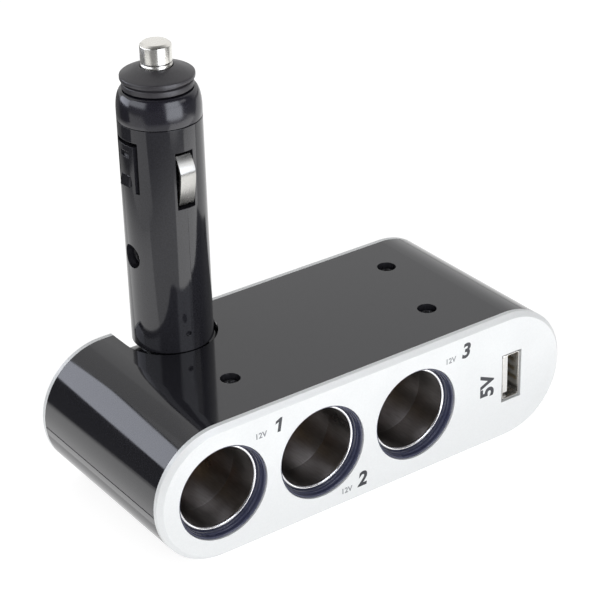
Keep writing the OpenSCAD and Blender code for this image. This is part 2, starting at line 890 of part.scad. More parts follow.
// Outside of the plug arm: cross barrel, neck, foot, plug and threaded neck
module plug_outside() {
    translate([arm_x, arm_y, pivot_z]) rotate([0, 90, 0]) {
        translate([0, 0, -knuckle_half]) {
            cylinder(r1 = knuckle_r - knuckle_bevel, r2 = knuckle_r, h = knuckle_bevel);
            translate([0, 0, knuckle_bevel])
                cylinder(r = knuckle_r, h = 2 * (knuckle_half - knuckle_bevel));
            translate([0, 0, 2 * knuckle_half - knuckle_bevel])
                cylinder(r1 = knuckle_r, r2 = knuckle_r - knuckle_bevel, h = knuckle_bevel);
        }
        translate([0, 0, -trunnion_end]) cylinder(r = trunnion_r, h = 2 * trunnion_end);
    }
    rod_z(arm_x, arm_y, neck_r, pivot_z, foot_z + foot_round);
    translate([arm_x, arm_y, foot_z])
        cylinder(r1 = plug_r - foot_round, r2 = plug_r, h = foot_round);
    rod_z(arm_x, arm_y, plug_r, foot_z + foot_round, shoulder_z);
    rod_z(arm_x, arm_y, thread_r, shoulder_z - over, thread_top);
    flap_ramps();
}

// Ramp on each springy tongue that grips the car's socket
module flap_ramps() {
    for (side = [0, 1])
        translate([arm_x, arm_y + ramp_w / 2, 0]) mirror([side, 0, 0])
            rotate([90, 0, 0]) linear_extrude(ramp_w)
                polygon([[plug_r - plug_wall / 2, ramp_z], [plug_r + ramp_out, ramp_z],
                    [plug_r, ramp_z + ramp_h], [plug_r - plug_wall / 2, ramp_z + ramp_h]]);
}

module flap_notches() {
    for (side = [0, 1])
        translate([arm_x, arm_y, notch_z]) mirror([side, 0, 0])
            block([plug_r - notch_d, -notch_w / 2, 0], [plug_r + over, notch_w / 2, notch_h]);
}

// Hollow of the plug arm, with its shelf, guide rib, bulkhead and screw boss left standing
module plug_inside() {
    rod_x(arm_y, pivot_z, knuckle_bore, arm_x - knuckle_half + neck_wall,
        arm_x + knuckle_half - neck_wall);
    rod_x(arm_y, pivot_z, trunnion_bore, arm_x - trunnion_end - over, arm_x + trunnion_end + over);
    rod_z(arm_x, arm_y, neck_bore, pivot_z, foot_z + 2 * foot_round);
    difference() {
        rod_z(arm_x, arm_y, cavity_r, foot_z + 2 * foot_round, shelf_low);
        rod_x(arm_y, screw_z, boss_r, arm_x - plug_r, arm_x + plug_r);
    }
    rod_z(arm_x, arm_y, cavity_r, terminal_low, guide_z);
    rod_z(arm_x, arm_y, cavity_r, guide_z + guide_t, bulkhead_z);
    rod_z(arm_x, arm_y, fuse_hole_r, guide_z - over, thread_top + over);
    for (side = [-1, 1]) {
        rod_z(arm_x - side * lead_x, arm_y + side * lead_y, lead_r + gap,
            shelf_low - over, terminal_low + over);
    }
}

// Window for a side contact, in front and behind
module contact_windows() {
    block([arm_x - window_w / 2, arm_y - plug_r - over, window_z0],
        [arm_x + window_w / 2, arm_y + plug_r + over, window_z1]);
}

// Slots round three sides of the springy flap, left and right
module flap_slots() {
    for (side = [-1, 1]) {
        block([arm_x - plug_r - over, arm_y + side * (flap_w - flap_slot) / 2 - flap_slot / 2,
            flap_z0],
            [arm_x + plug_r + over, arm_y + side * (flap_w - flap_slot) / 2 + flap_slot / 2,
            flap_z1]);
    }
    block([arm_x - plug_r - over, arm_y - flap_w / 2, flap_z1 - flap_slot],
        [arm_x + plug_r + over, arm_y + flap_w / 2, flap_z1]);
}

module plug_halves() {
    difference() {
        plug_outside();
        plug_inside();
        flap_notches();
        difference() {
            union() {
                contact_windows();
                flap_slots();
            }
            rod_z(arm_x, arm_y, cavity_r - guide_cut, foot_z, shoulder_z);
        }
        rod_x(arm_y, screw_z, recess_r, arm_x - plug_r - over, arm_x - plug_r + recess_d);
        rod_x(arm_y, screw_z, shank_r + fit, arm_x - plug_r, arm_x);
        rod_x(arm_y, screw_z, shank_r, arm_x - over, arm_x + plug_shank_end);
        rod_y(arm_x - dimple_x, foot_z + dimple_rise, dimple_r,
            arm_y - plug_r - over, arm_y - plug_r + dimple_r);
    }
}

module plug_shell_left() {
    color([0.1, 0.1, 0.11]) intersection() {
        plug_halves();
        block([arm_x - body_w, -body_d, 0], [arm_x, body_d, tip_top]);
    }
}

module plug_shell_right() {
    color([0.12, 0.12, 0.13]) intersection() {
        plug_halves();
        block([arm_x, -body_d, 0], [arm_x + body_w, body_d, tip_top]);
    }
}

module plug_screw() {
    color([0.1, 0.1, 0.1])
    translate([arm_x - plug_r + recess_d, arm_y, screw_z]) rotate([0, -90, 0])
        cross_screw(plug_head_r, plug_head_h, shank_r, plug_r - recess_d + plug_shank_end);
}

// Ring that screws over the plug's neck: skirt, domed shoulder and inner lip
module screw_ring() {
    dome_h = ring_h - ring_skirt;
    steps = 12;
    dome = [for (k = [0:steps]) [
        ring_top_r + (plug_r - ring_top_r) * cos(90 * k / steps),
        ring_skirt + dome_h * sin(90 * k / steps)]];
    color([0.08, 0.08, 0.1])
    translate([arm_x, arm_y, ring_low]) rotate_extrude() polygon(concat(
        [[thread_r + fit, 0], [plug_r, 0]], dome,
        [[cap_neck_r + fit, ring_h], [cap_neck_r + fit, ring_h - ring_lip],
        [thread_r + fit, ring_h - ring_lip]]));
}

// Nose cap: captive flange, neck, band, groove, rim and cone over a stepped bore
module nose_cap() {
    color([0.2, 0.2, 0.21])
    translate([arm_x, arm_y, 0]) rotate_extrude() polygon([
        [cap_bore_r, flange_low], [flange_r, flange_low], [flange_r, flange_high],
        [cap_neck_r, flange_high], [cap_neck_r, band_low], [band_r, band_low],
        [band_r, band_high], [groove_r, band_high + groove_h / 2], [rim_r, rim_low],
        [rim_r, rim_high - gap], [rim_r - gap, rim_high], [tip_hole_r + gap, cone_high],
        [tip_hole_r, cone_high], [tip_hole_r, cap_roof], [cap_bore_r, cap_roof]]);
}

module tip_contact() {
    color([0.85, 0.85, 0.86])
    translate([arm_x, arm_y, 0]) rotate_extrude() polygon([
        [0, tip_seat], [tip_flange_r, tip_seat], [tip_flange_r, cap_roof - run],
        [tip_r, cap_roof - run], [tip_r, tip_top - tip_bevel],
        [tip_r - tip_bevel, tip_top], [0, tip_top]]);
}

module fuse_tube() {
    color([0.8, 0.9, 0.9, 0.5]) difference() {
        rod_z(arm_x, arm_y, fuse_r - fuse_sheet, fuse_low + fuse_end_t, fuse_top - fuse_end_t);
        rod_z(arm_x, arm_y, fuse_r - fuse_sheet - glass_t, fuse_low, fuse_top);
    }
}

module fuse_end_caps() {
    color([0.78, 0.78, 0.8]) for (low = [fuse_low, fuse_top - fuse_cap_l]) {
        difference() {
            rod_z(arm_x, arm_y, fuse_r, low, low + fuse_cap_l);
            rod_z(arm_x, arm_y, fuse_r - fuse_sheet, max(low, fuse_low + fuse_end_t),
                min(low + fuse_cap_l, fuse_top - fuse_end_t));
        }
    }
}

// Spring wound as one tube along a helix; each ring of points faces along the wire
function spring_at(k) = [
    spring_r * cos(360 * spring_turns * k / spring_rings),
    spring_r * sin(360 * spring_turns * k / spring_rings),
    spring_wire + spring_rise * k / spring_rings];
function spring_ring(k) = let (
    angle = 360 * spring_turns * k / spring_rings,
    outward = [cos(angle), sin(angle), 0])
    [for (s = [0:spring_sides - 1]) spring_at(k)
        + spring_wire * (cos(360 * s / spring_sides) * outward
        + sin(360 * s / spring_sides) * [0, 0, 1])];

module fuse_spring() {
    points = [for (k = [0:spring_rings]) each spring_ring(k)];
    n = spring_sides;
    last = spring_rings * n;
    faces = concat(
        [[for (s = [0:n - 1]) s]],
        [for (k = [0:spring_rings - 1], s = [0:n - 1]) each [
            [k * n + s, (k + 1) * n + s, (k + 1) * n + (s + 1) % n],
            [k * n + s, (k + 1) * n + (s + 1) % n, k * n + (s + 1) % n]]],
        [[for (s = [n - 1:-1:0]) last + s]]);
    color([0.7, 0.7, 0.7]) translate([arm_x, arm_y, terminal_top])
        polyhedron(points = points, faces = faces);
}

// Brass disc under the spring, with a lug over the lead
module fuse_terminal() {
    color([0.8, 0.65, 0.3]) {
        rod_z(arm_x, arm_y, terminal_r, terminal_low, terminal_top);
        block([arm_x - lead_x - lug_half, arm_y, terminal_low],
            [arm_x - lead_x + lug_half, arm_y + lead_y + lug_half, terminal_low + lug_t]);
    }
}

// Sprung side contact with a rolled hem at its foot, drawn as distance from the axis and height
module side_contact(direction) {
    outer = [
        [leaf_foot_r, leaf_foot_z],
        [leaf_foot_r, window_z0],
        [plug_r, leaf_knee_z],
        [plug_r + leaf_out - leaf_t / 4, leaf_apex_z],
        [plug_r + leaf_out, leaf_apex_z + leaf_t],
        [(plug_r + leaf_out) * (1 - leaf_bend_share) + leaf_top_r * leaf_bend_share,
        (leaf_top_z + leaf_apex_z) / 2],
        [leaf_top_r, leaf_top_z]];
    inner = [for (k = [len(outer) - 1:-1:0]) outer[k] - [leaf_t, 0]];
    color([0.82, 0.82, 0.84])
    translate([arm_x - leaf_w / 2, arm_y, 0])
        mirror([0, direction < 0 ? 1 : 0, 0])
        rotate([90, 0, 90]) linear_extrude(leaf_w) {
            polygon(concat(outer, inner));
            translate([leaf_foot_r - leaf_t / 2, leaf_pivot_z]) circle(r = leaf_hem_r);
        }
}

module side_contact_front() { side_contact(-1); }
module side_contact_rear() { side_contact(1); }

// Ring inside the plug that joins the side contacts, with a lug over the lead
module ground_ring() {
    color([0.8, 0.65, 0.3]) {
        difference() {
            rod_z(arm_x, arm_y, ground_r, ground_low, ground_low + ground_h);
            rod_z(arm_x, arm_y, ground_r - ground_t, ground_low - over,
                ground_low + ground_h + over);
        }
        intersection() {
            rod_z(arm_x, arm_y, ground_r, ground_low, ground_low + lug_t);
            block([arm_x + leaf_w / 2 + gap, arm_y - cavity_r, ground_low],
                [arm_x + lead_x + lug_half, arm_y - lead_y + lug_half, ground_low + lug_t]);
        }
    }
}

module plug_positive_lead() {
    color("red") lead([
        [arm_x - lead_x, arm_y + lead_y, terminal_low],
        [arm_x - lead_x, arm_y + lead_y, lead_bend_z],
        [arm_x - lead_x, arm_y, lead_bend_z],
        [arm_x - lead_x, arm_y, pivot_z],
        [arm_x - trunnion_end, arm_y, pivot_z]]);
}

module plug_negative_lead() {
    color([0.15, 0.15, 0.15]) lead([
        [arm_x + lead_x, arm_y - lead_y, ground_low],
        [arm_x + lead_x, arm_y - lead_y, lead_bend_z],
        [arm_x + lead_x, arm_y, lead_bend_z],
        [arm_x + lead_x, arm_y, pivot_z],
        [arm_x + trunnion_end, arm_y, pivot_z]]);
}

upper_shell();
lower_shell();
front_plate();
rear_plate();
for (i = [0:2]) {
    socket_bezel(i);
    socket_tube(i);
    socket_insulator(i);
    centre_contact(i);
}
usb_shell();
usb_tongue();
usb_contacts();
circuit_board();
inductor();
capacitors();
converter_chip();
positive_bus_bar();
negative_bus_bar();
positive_lead();
negative_lead();
case_screws();
plug_shell_left();
plug_shell_right();
plug_screw();
screw_ring();
nose_cap();
tip_contact();
fuse_tube();
fuse_end_caps();
fuse_spring();
fuse_terminal();
side_contact_front();
side_contact_rear();
ground_ring();
plug_positive_lead();
plug_negative_lead();
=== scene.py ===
"""Looks of the three-socket car splitter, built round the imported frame; sizes in millimetres."""

import json
import math

import bmesh
import bpy
from mathutils import Matrix, Vector


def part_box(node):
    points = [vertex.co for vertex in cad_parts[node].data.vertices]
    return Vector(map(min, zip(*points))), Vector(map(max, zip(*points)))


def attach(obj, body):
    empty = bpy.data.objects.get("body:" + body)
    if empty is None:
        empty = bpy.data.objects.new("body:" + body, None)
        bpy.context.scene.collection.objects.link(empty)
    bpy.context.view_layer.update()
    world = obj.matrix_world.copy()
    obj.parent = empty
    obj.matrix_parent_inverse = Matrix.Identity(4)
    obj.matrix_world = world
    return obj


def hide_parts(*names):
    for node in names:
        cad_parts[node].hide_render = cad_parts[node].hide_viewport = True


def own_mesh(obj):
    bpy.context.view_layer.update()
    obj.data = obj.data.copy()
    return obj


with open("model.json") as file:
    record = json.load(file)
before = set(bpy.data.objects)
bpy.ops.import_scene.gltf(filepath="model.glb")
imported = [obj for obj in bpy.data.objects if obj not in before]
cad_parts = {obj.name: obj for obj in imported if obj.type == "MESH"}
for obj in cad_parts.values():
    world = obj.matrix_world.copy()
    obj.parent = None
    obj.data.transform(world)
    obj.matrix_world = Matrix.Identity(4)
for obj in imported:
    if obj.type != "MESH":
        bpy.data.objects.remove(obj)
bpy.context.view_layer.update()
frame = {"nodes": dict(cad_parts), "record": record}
MM = 0.001
NODE_SLOT = {part["node"]: part["material_slot"] for part in frame["record"]["subparts"]}


def box_mm(node):
    """Lowest and highest corner of a CAD node in millimetres."""
    low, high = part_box(node)
    return low / MM, high / MM


# Places taken from the frame
RING_LOW, RING_HIGH = box_mm("screw_ring")
CAP_LOW, CAP_HIGH = box_mm("nose_cap")
FRONT_LOW, FRONT_HIGH = box_mm("front_plate")
ARM_X = (RING_LOW.x + RING_HIGH.x) / 2
ARM_Y = (RING_LOW.y + RING_HIGH.y) / 2
PLUG_R = (RING_HIGH.x - RING_LOW.x) / 2
MID_Z = (FRONT_LOW.z + FRONT_HIGH.z) / 2
FACE_Y = FRONT_LOW.y
SOCKETS = (1, 2, 3)
FRONT, REAR = -1, 1
ALONG_X, ALONG_Y, ALONG_Z = (1, 0, 0), (0, 1, 0), (0, 0, 1)


# Camera, from the fit to the photograph
CAMERA_PLACE = Vector((-257.076, -367.420, 283.769)) * MM
CAMERA_YAW = math.radians(34.853)
CAMERA_PITCH = math.radians(-28.1746)
CAMERA_ROLL = math.radians(-1.5458)
CAMERA_LENS = 120.818
SENSOR_WIDTH = 36.0
NEAREST = 0.01
FARTHEST = 20


def make_camera():
    level = math.cos(CAMERA_PITCH)
    forward = Vector((math.sin(CAMERA_YAW) * level, math.cos(CAMERA_YAW) * level,
                      math.sin(CAMERA_PITCH)))
    right = Vector((math.cos(CAMERA_YAW), -math.sin(CAMERA_YAW), 0))
    up = right.cross(forward)
    right_rolled = math.cos(CAMERA_ROLL) * right + math.sin(CAMERA_ROLL) * up
    up_rolled = math.cos(CAMERA_ROLL) * up - math.sin(CAMERA_ROLL) * right
    turn = Matrix((right_rolled, up_rolled, -forward)).transposed()
    data = bpy.data.cameras.new("camera")
    data.lens = CAMERA_LENS
    data.sensor_width = SENSOR_WIDTH
    data.clip_start = NEAREST
    data.clip_end = FARTHEST
    camera = bpy.data.objects.new("camera", data)
    camera.matrix_world = Matrix.Translation(CAMERA_PLACE) @ turn.to_4x4()
    bpy.context.collection.objects.link(camera)
    bpy.context.scene.camera = camera


# Materials

WHITE = (1.0, 1.0, 1.0)


class Nodes:
    """The node tree of a material or a world, with short calls for the nodes used here."""

    def __init__(self, owner, output="ShaderNodeOutputMaterial"):
        owner.use_nodes = True
        self.owner = owner
        self.tree = owner.node_tree
        self.tree.nodes.clear()
        self.out = self.add(output)

    def add(self, kind, **values):
        """New node with its settings and inputs; an underscore stands for a space."""
        node = self.tree.nodes.new(kind)
        for key, value in values.items():
            if hasattr(node, key):
                setattr(node, key, value)
            else:
                node.inputs[key.replace("_", " ")].default_value = value
        return node

    def link(self, source, target):
        self.tree.links.new(source, target)

    def show(self, shader):
        """Makes a shader the surface."""
        self.link(shader, self.out.inputs["Surface"])

    def noise(self, size_mm, detail=3.0, stretch=(1, 1, 1)):
        """Noise whose grains are about size_mm across."""
        place = self.add("ShaderNodeTexCoord")
        scale = [1 / (size_mm * MM * share) for share in stretch]
        mapping = self.add("ShaderNodeMapping", Scale=scale)
        self.link(place.outputs["Object"], mapping.inputs["Vector"])
        noise = self.add("ShaderNodeTexNoise", Scale=1.0, Detail=detail)
        self.link(mapping.outputs["Vector"], noise.inputs["Vector"])
        return noise.outputs["Fac"]

    def spread(self, value, low, high, from_low=0.3, from_high=0.7, **settings):
        """Maps a value to a range; the usual limits are those of a noise."""
        node = self.add("ShaderNodeMapRange", From_Min=from_low, From_Max=from_high,
                        To_Min=low, To_Max=high, **settings)
        self.link(value, node.inputs["Value"])
        return node.outputs["Result"]

    def blend(self, factor, first, second):
        """Mixes two colours by a value."""
        node = self.add("ShaderNodeMix", data_type="RGBA")
        node.inputs["A"].default_value = (*first, 1)
        node.inputs["B"].default_value = (*second, 1)
        self.link(factor, node.inputs["Factor"])
        return node.outputs["Result"]

    def math(self, operation, *values):
        """Works out a value from other values."""
        node = self.add("ShaderNodeMath", operation=operation)
        for value, target in zip(values, node.inputs):
            self.link(value, target)
        return node.outputs[0]

    def mix(self, factor, first, second):
        """Mixes two shaders by a value."""
        node = self.add("ShaderNodeMixShader")
        for source, target in zip((factor, first, second), node.inputs):
            self.link(source, target)
        return node.outputs[0]

    def glow(self, strength, kind="ShaderNodeEmission"):
        """White light whose strength is another node's value."""
        node = self.add(kind)
        self.link(strength, node.inputs["Strength"])
        return node.outputs[0]

    def clear(self):
        return self.add("ShaderNodeBsdfTransparent").outputs[0]


def new_material(name):
    return Nodes(bpy.data.materials.new(name))


def shaded(colour, factor):
    return tuple(min(1.0, channel * factor) for channel in colour)


FINE_DETAIL = 4.0
PATCH = 9.0
ROUGH_SPREAD = 0.25
QUARTER_TURN_SHARE = 0.25


def make_finish(name, colour, rough, metal=0.0, grain=0.5, contrast=0.12, bump=0.02, edge=0.0,
                stretch=(1, 1, 1), ior=1.5, turned=0.0):
    """Procedural finish: fine grain in colour and bump, broad patches in roughness.

    The grain, bump and edge are in millimetres. An edge softens corners in the shading, and
    turned is how much the marks of a lathe about Y stretch the reflections along it.
    """
    nodes = new_material(name)
    shader = nodes.add("ShaderNodeBsdfPrincipled", Metallic=metal, IOR=ior)
    fine = nodes.noise(grain, FINE_DETAIL, stretch)
    broad = nodes.noise(PATCH)
    tone = nodes.blend(nodes.spread(fine, 0.0, 1.0),
                       shaded(colour, 1 - contrast), shaded(colour, 1 + contrast))
    nodes.link(tone, shader.inputs["Base Color"])
    roughness = nodes.spread(broad, rough * (1 - ROUGH_SPREAD), rough * (1 + ROUGH_SPREAD))
    nodes.link(roughness, shader.inputs["Roughness"])
    relief = nodes.add("ShaderNodeBump", Strength=1.0, Distance=bump * MM)
    nodes.link(fine, relief.inputs["Height"])
    if edge:
        soft = nodes.add("ShaderNodeBevel", samples=4, Radius=edge * MM)
        nodes.link(soft.outputs["Normal"], relief.inputs["Normal"])
    nodes.link(relief.outputs["Normal"], shader.inputs["Normal"])
    if turned:
        around = nodes.add("ShaderNodeTangent", direction_type="RADIAL", axis="Y")
        nodes.link(around.outputs["Tangent"], shader.inputs["Tangent"])
        shader.inputs["Anisotropic"].default_value = turned
        shader.inputs["Anisotropic Rotation"].default_value = QUARTER_TURN_SHARE
    nodes.show(shader.outputs["BSDF"])
    return nodes.owner


def make_glass(name):
    patch = 2.0
    clearest, haziest = 0.02, 0.08
    nodes = new_material(name)
    shader = nodes.add("ShaderNodeBsdfPrincipled", Base_Color=(0.9, 0.95, 0.95, 1),
                       Transmission_Weight=1.0)
    roughness = nodes.spread(nodes.noise(patch), clearest, haziest)
    nodes.link(roughness, shader.inputs["Roughness"])
    nodes.show(shader.outputs["BSDF"])
    return nodes.owner


# The finish of each slot of the record but the glass, and of this script's own materials
FINISHES = {
    "gloss_black": dict(colour=(0.019, 0.019, 0.0235), rough=0.08, grain=0.35, contrast=0.25,
                        bump=0.0006, edge=0.15, ior=1.52),
    "gloss_ring": dict(colour=(0.013, 0.0125, 0.019), rough=0.16, grain=0.35, contrast=0.25,
                       bump=0.0006, edge=0.1, ior=1.52),
    "silver_plate": dict(colour=(0.805, 0.822, 0.832), rough=0.42, metal=0.07, grain=0.4,
                         contrast=0.02, bump=0.0008),
    "navy_bezel": dict(colour=(0.045, 0.05, 0.095), rough=0.28, grain=0.3, contrast=0.2,
                       bump=0.002, ior=1.7),
    "matte_black": dict(colour=(0.034, 0.032, 0.037), rough=0.36, grain=0.25, contrast=0.25,
                        bump=0.006, edge=0.1),
    "white_plastic": dict(colour=(0.8, 0.8, 0.78), rough=0.4, grain=0.4, contrast=0.05,
                          bump=0.003, edge=0.1),
    "nickel": dict(colour=(0.8, 0.78, 0.73), rough=0.14, metal=1.0, grain=0.3, contrast=0.06,
                   bump=0.0008, stretch=(1, 1, 0.12)),
    "spring_leaf": dict(colour=(0.37, 0.365, 0.35), rough=0.26, metal=1.0, grain=0.25,
                        bump=0.003, stretch=(1, 1, 0.15)),
    "usb_sheet": dict(colour=(0.56, 0.55, 0.53), rough=0.26, metal=1.0, grain=0.2,
                      contrast=0.08, bump=0.002),
    "brushed_tip": dict(colour=(0.8, 0.785, 0.74), rough=0.24, metal=1.0, grain=0.2,
                        contrast=0.08, bump=0.002, stretch=(1, 1, 0.1)),
    "chrome_lip": dict(colour=(0.9, 0.9, 0.92), rough=0.22, metal=1.0, grain=0.3,
                       contrast=0.04, bump=0.0005),
    "socket_steel": dict(colour=(0.28, 0.26, 0.251), rough=0.36, metal=1.0, grain=0.4,
                         bump=0.001, stretch=(1, 8, 1), turned=0.95),
    "steel": dict(colour=(0.6, 0.6, 0.62), rough=0.3, metal=1.0, grain=0.3),
    "brass": dict(colour=(0.6, 0.47, 0.27), rough=0.34, metal=1.0, contrast=0.1),
    "black_steel": dict(colour=(0.06, 0.06, 0.064), rough=0.35, metal=0.6, grain=0.3,
                        contrast=0.3, bump=0.003, edge=0.08),
    "board_green": dict(colour=(0.03, 0.16, 0.07), rough=0.35, grain=0.8),
    "ferrite": dict(colour=(0.1, 0.085, 0.07), rough=0.6, contrast=0.3),
    "capacitor_sleeve": dict(colour=(0.04, 0.05, 0.2), rough=0.3, grain=1.0),
    "insulator_brown": dict(colour=(0.16, 0.09, 0.05), rough=0.6, grain=0.4, contrast=0.3,
                            bump=0.01),
    "red_lead": dict(colour=(0.5, 0.02, 0.02), rough=0.45, grain=1.0),
    "black_lead": dict(colour=(0.02, 0.02, 0.02), rough=0.45, grain=1.0),
    "mark_black": dict(colour=(0.03, 0.032, 0.04), rough=0.45, grain=0.3),
    "mark_grey": dict(colour=(0.25, 0.26, 0.28), rough=0.45, grain=0.3),
}


def make_materials():
    materials = {name: make_finish(name, **values) for name, values in FINISHES.items()}
    materials["fuse_glass"] = make_glass("fuse_glass")
    return materials


def dress_frame(materials):
    for name, node in frame["nodes"].items():
        node.data.materials.clear()
        node.data.materials.append(materials[NODE_SLOT[name]])


# Mesh helpers

SAME_PLACE = 1e-7
ON_AXIS = 1e-6
# The share of a side that the curve at each of its ends may take up
REACH_SHARE = 1 / 2.2


def rounded(points, radius, steps=4, closed=True):
    """A polyline with each corner turned into a short curve that starts radius before it."""
    result = []
    count = len(points)
    for k, here in enumerate(points):
        if not closed and k in (0, count - 1):
            result.append(tuple(here))
            continue
        here = Vector(here)
        before = Vector(points[k - 1]) - here
        after = Vector(points[(k + 1) % count]) - here
        reach = min(radius, before.length * REACH_SHARE, after.length * REACH_SHARE)
        start = here + before.normalized() * reach
        end = here + after.normalized() * reach
        for step in range(steps + 1):
            t = step / steps
            result.append(tuple((1 - t) ** 2 * start + 2 * t * (1 - t) * here + t * t * end))
    return result


def arc_points(centre_r, centre_y, radius, start, end, steps=10):
    """Points along an arc of an outline, angles in degrees."""
    points = []
    for k in range(steps + 1):
        angle = math.radians(start + (end - start) * k / steps)
        points.append((centre_r + radius * math.cos(angle), centre_y + radius * math.sin(angle)))
    return points


def finish_object(name, builder, finish, body, materials, replaced=(), sharp=38):
    """Turns a bmesh into a named piece with its material and body."""
    bmesh.ops.remove_doubles(builder, verts=builder.verts, dist=SAME_PLACE)
    bmesh.ops.recalc_face_normals(builder, faces=builder.faces)
    mesh = bpy.data.meshes.new(name)
    builder.to_mesh(mesh)
    builder.free()
    mesh.polygons.foreach_set("use_smooth", [True] * len(mesh.polygons))
    mesh.set_sharp_from_angle(angle=math.radians(sharp))
    mesh.materials.append(materials[finish])
    piece = bpy.data.objects.new(name, mesh)
    bpy.context.collection.objects.link(piece)
    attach(piece, body)
    if replaced:
        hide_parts(*replaced)
    return piece


def turn_to(axis):
    """Rotation that takes Z to an axis."""
    return Vector(axis).to_track_quat("Z", "Y").to_matrix()


def circle(builder, place, turn, radius, along, steps):
    """Ring of vertices round a turned Z axis, or one vertex where the radius is zero."""
    ring = []
    for k in range(steps if radius > ON_AXIS else 1):
        angle = 2 * math.pi * k / steps
        local = Vector((radius * math.cos(angle), radius * math.sin(angle), along))
        ring.append(builder.verts.new((Vector(place) + turn @ local) * MM))
    return ring


def bridge(builder, first, second):
    """Faces between two closed rings, of which one may be a single vertex."""
    for k in range(max(len(first), len(second))):
        corners = []
        for ring, index in ((first, k), (first, k + 1), (second, k + 1), (second, k)):
            vertex = ring[index % len(ring)]
            if vertex not in corners:
                corners.append(vertex)
        builder.faces.new(corners)


def bridge_all(builder, rings):
    for first, second in zip(rings, rings[1:]):
        bridge(builder, first, second)


def add_lathe(builder, profile, place, axis, steps=96, closed=True):
    """Revolves (radius, along) points about a line through place along axis."""
    turn = turn_to(axis)
    rings = [circle(builder, place, turn, radius, along, steps) for radius, along in profile]
    bridge_all(builder, rings)
    if closed:
        bridge(builder, rings[-1], rings[0])


def add_prism(builder, outline, origin, across, along, depth, thickness):
    """Pushes a closed outline (across, along) out by thickness in the depth direction."""
    origin, across, along, depth = map(Vector, (origin, across, along, depth))
    low = []
    high = []
    for u, v in outline:
        base = origin + across * u + along * v
        low.append(builder.verts.new(base * MM))
        high.append(builder.verts.new((base + depth * thickness) * MM))
    builder.faces.new(low)
    builder.faces.new(high)
    bridge(builder, low, high)


# The sockets

TUBE_SHEET = 0.65
PLATE_T = 2.4
# Steps inward from the rim's edge and back from its front
RIM_STEPS = ((0, 0.5), (0.08, 0.12), (0.3, 0), (0.5, 0.2), (0.62, 0.5))
# Steps outward from the tube and back from the bezel's front
FUNNEL_STEPS = ((0.58, 1.15), (0.36, 1.5), (0.3, 2.2))


def socket_place(i):
    """Middle of a socket's mouth in the plane y = 0."""
    low, high = box_mm(f"socket_bezel_{i}")
    return (low.x + high.x) / 2, 0, MID_Z


def make_bezel(i, materials):
    """Bezel with a rolled front rim, a dished funnel, a flange and a collar."""
    low, high = box_mm(f"socket_bezel_{i}")
    tube_low, tube_high = box_mm(f"socket_tube_{i}")
    tube_r = (tube_high.x - tube_low.x) / 2
    flange_r = (high.x - low.x) / 2
    front, back, mouth = low.y, high.y, tube_low.y
    rim_r = flange_r - 1.25
    collar_r = tube_r + 1.35
    grip_r = tube_r - 0.02
    clear_r = tube_r + 0.05
    step_r, step_y = tube_r + 0.3, mouth + 0.3
    grip_l = 0.3
    ease = 0.1
    flange_front = FACE_Y + PLATE_T
    flange_back = flange_front + 1.4
    corner = 0.22
    profile = [(rim_r - inward, front + behind) for inward, behind in RIM_STEPS]
    profile += [(tube_r + outward, front + behind) for outward, behind in FUNNEL_STEPS]
    profile += [(step_r, step_y), (grip_r, step_y + ease), (grip_r, step_y + ease + grip_l),
                (clear_r, step_y + 2 * ease + grip_l), (clear_r, back), (collar_r, back),
                (collar_r, flange_back), (flange_r, flange_back), (flange_r, flange_front),
                (rim_r, flange_front)]
    builder = bmesh.new()
    add_lathe(builder, rounded(profile, corner, steps=3), socket_place(i), ALONG_Y)
    finish_object(f"bezel_{i}", builder, "navy_bezel", "housing", materials,
                  (f"socket_bezel_{i}",))


def make_tube(i, materials):
    """Steel socket tube with a shallow bead in its wall and a stepped, flanged end."""
    low, high = box_mm(f"socket_tube_{i}")
    front, back = low.y, high.y
    outer_r = (high.x - low.x) / 2
    inner_r = outer_r - TUBE_SHEET
    edge_r = TUBE_SHEET / 2
    bead_y, bead_half, bead_deep = front + 9.4, 0.4, 0.12
    end = back - TUBE_SHEET
    step_y = end - 3.5
    step = 0.35
    narrow_r = inner_r - step
    corner = 0.3
    hub_r = 5.0
    profile = arc_points(inner_r + edge_r, front + edge_r, edge_r, 0, -180)
    profile += [(inner_r, bead_y - bead_half), (inner_r + bead_deep, bead_y),
                (inner_r, bead_y + bead_half), (inner_r, step_y), (narrow_r, step_y + step),
                (narrow_r, end - corner), (narrow_r - corner, end), (hub_r, end), (hub_r, back),
                (outer_r - corner, back), (outer_r, back - corner)]
    builder = bmesh.new()
    add_lathe(builder, profile, socket_place(i), ALONG_Y)
    finish_object(f"tube_{i}", builder, "socket_steel", "housing", materials,
                  (f"socket_tube_{i}",), sharp=30)


def make_tube_lip(i, materials):
    """Bright rolled edge round the mouth of a tube."""
    low, high = box_mm(f"socket_tube_{i}")
    inner_r = (high.x - low.x) / 2 - TUBE_SHEET
    roll_r = 0.47
    outward, behind = 0.45, 0.3
    roll = arc_points(inner_r + outward, low.y + behind, roll_r, 0, 345, steps=24)
    builder = bmesh.new()
    add_lathe(builder, roll, socket_place(i), ALONG_Y)
    finish_object(f"tube_lip_{i}", builder, "chrome_lip", "housing", materials)


# The nose

NOSE_PLACE = (ARM_X, ARM_Y, 0)
NOSE_STEPS = 128
RING_LIP_T = 2.0
TIP_R = 3.85
TIP_CLEAR = 0.1


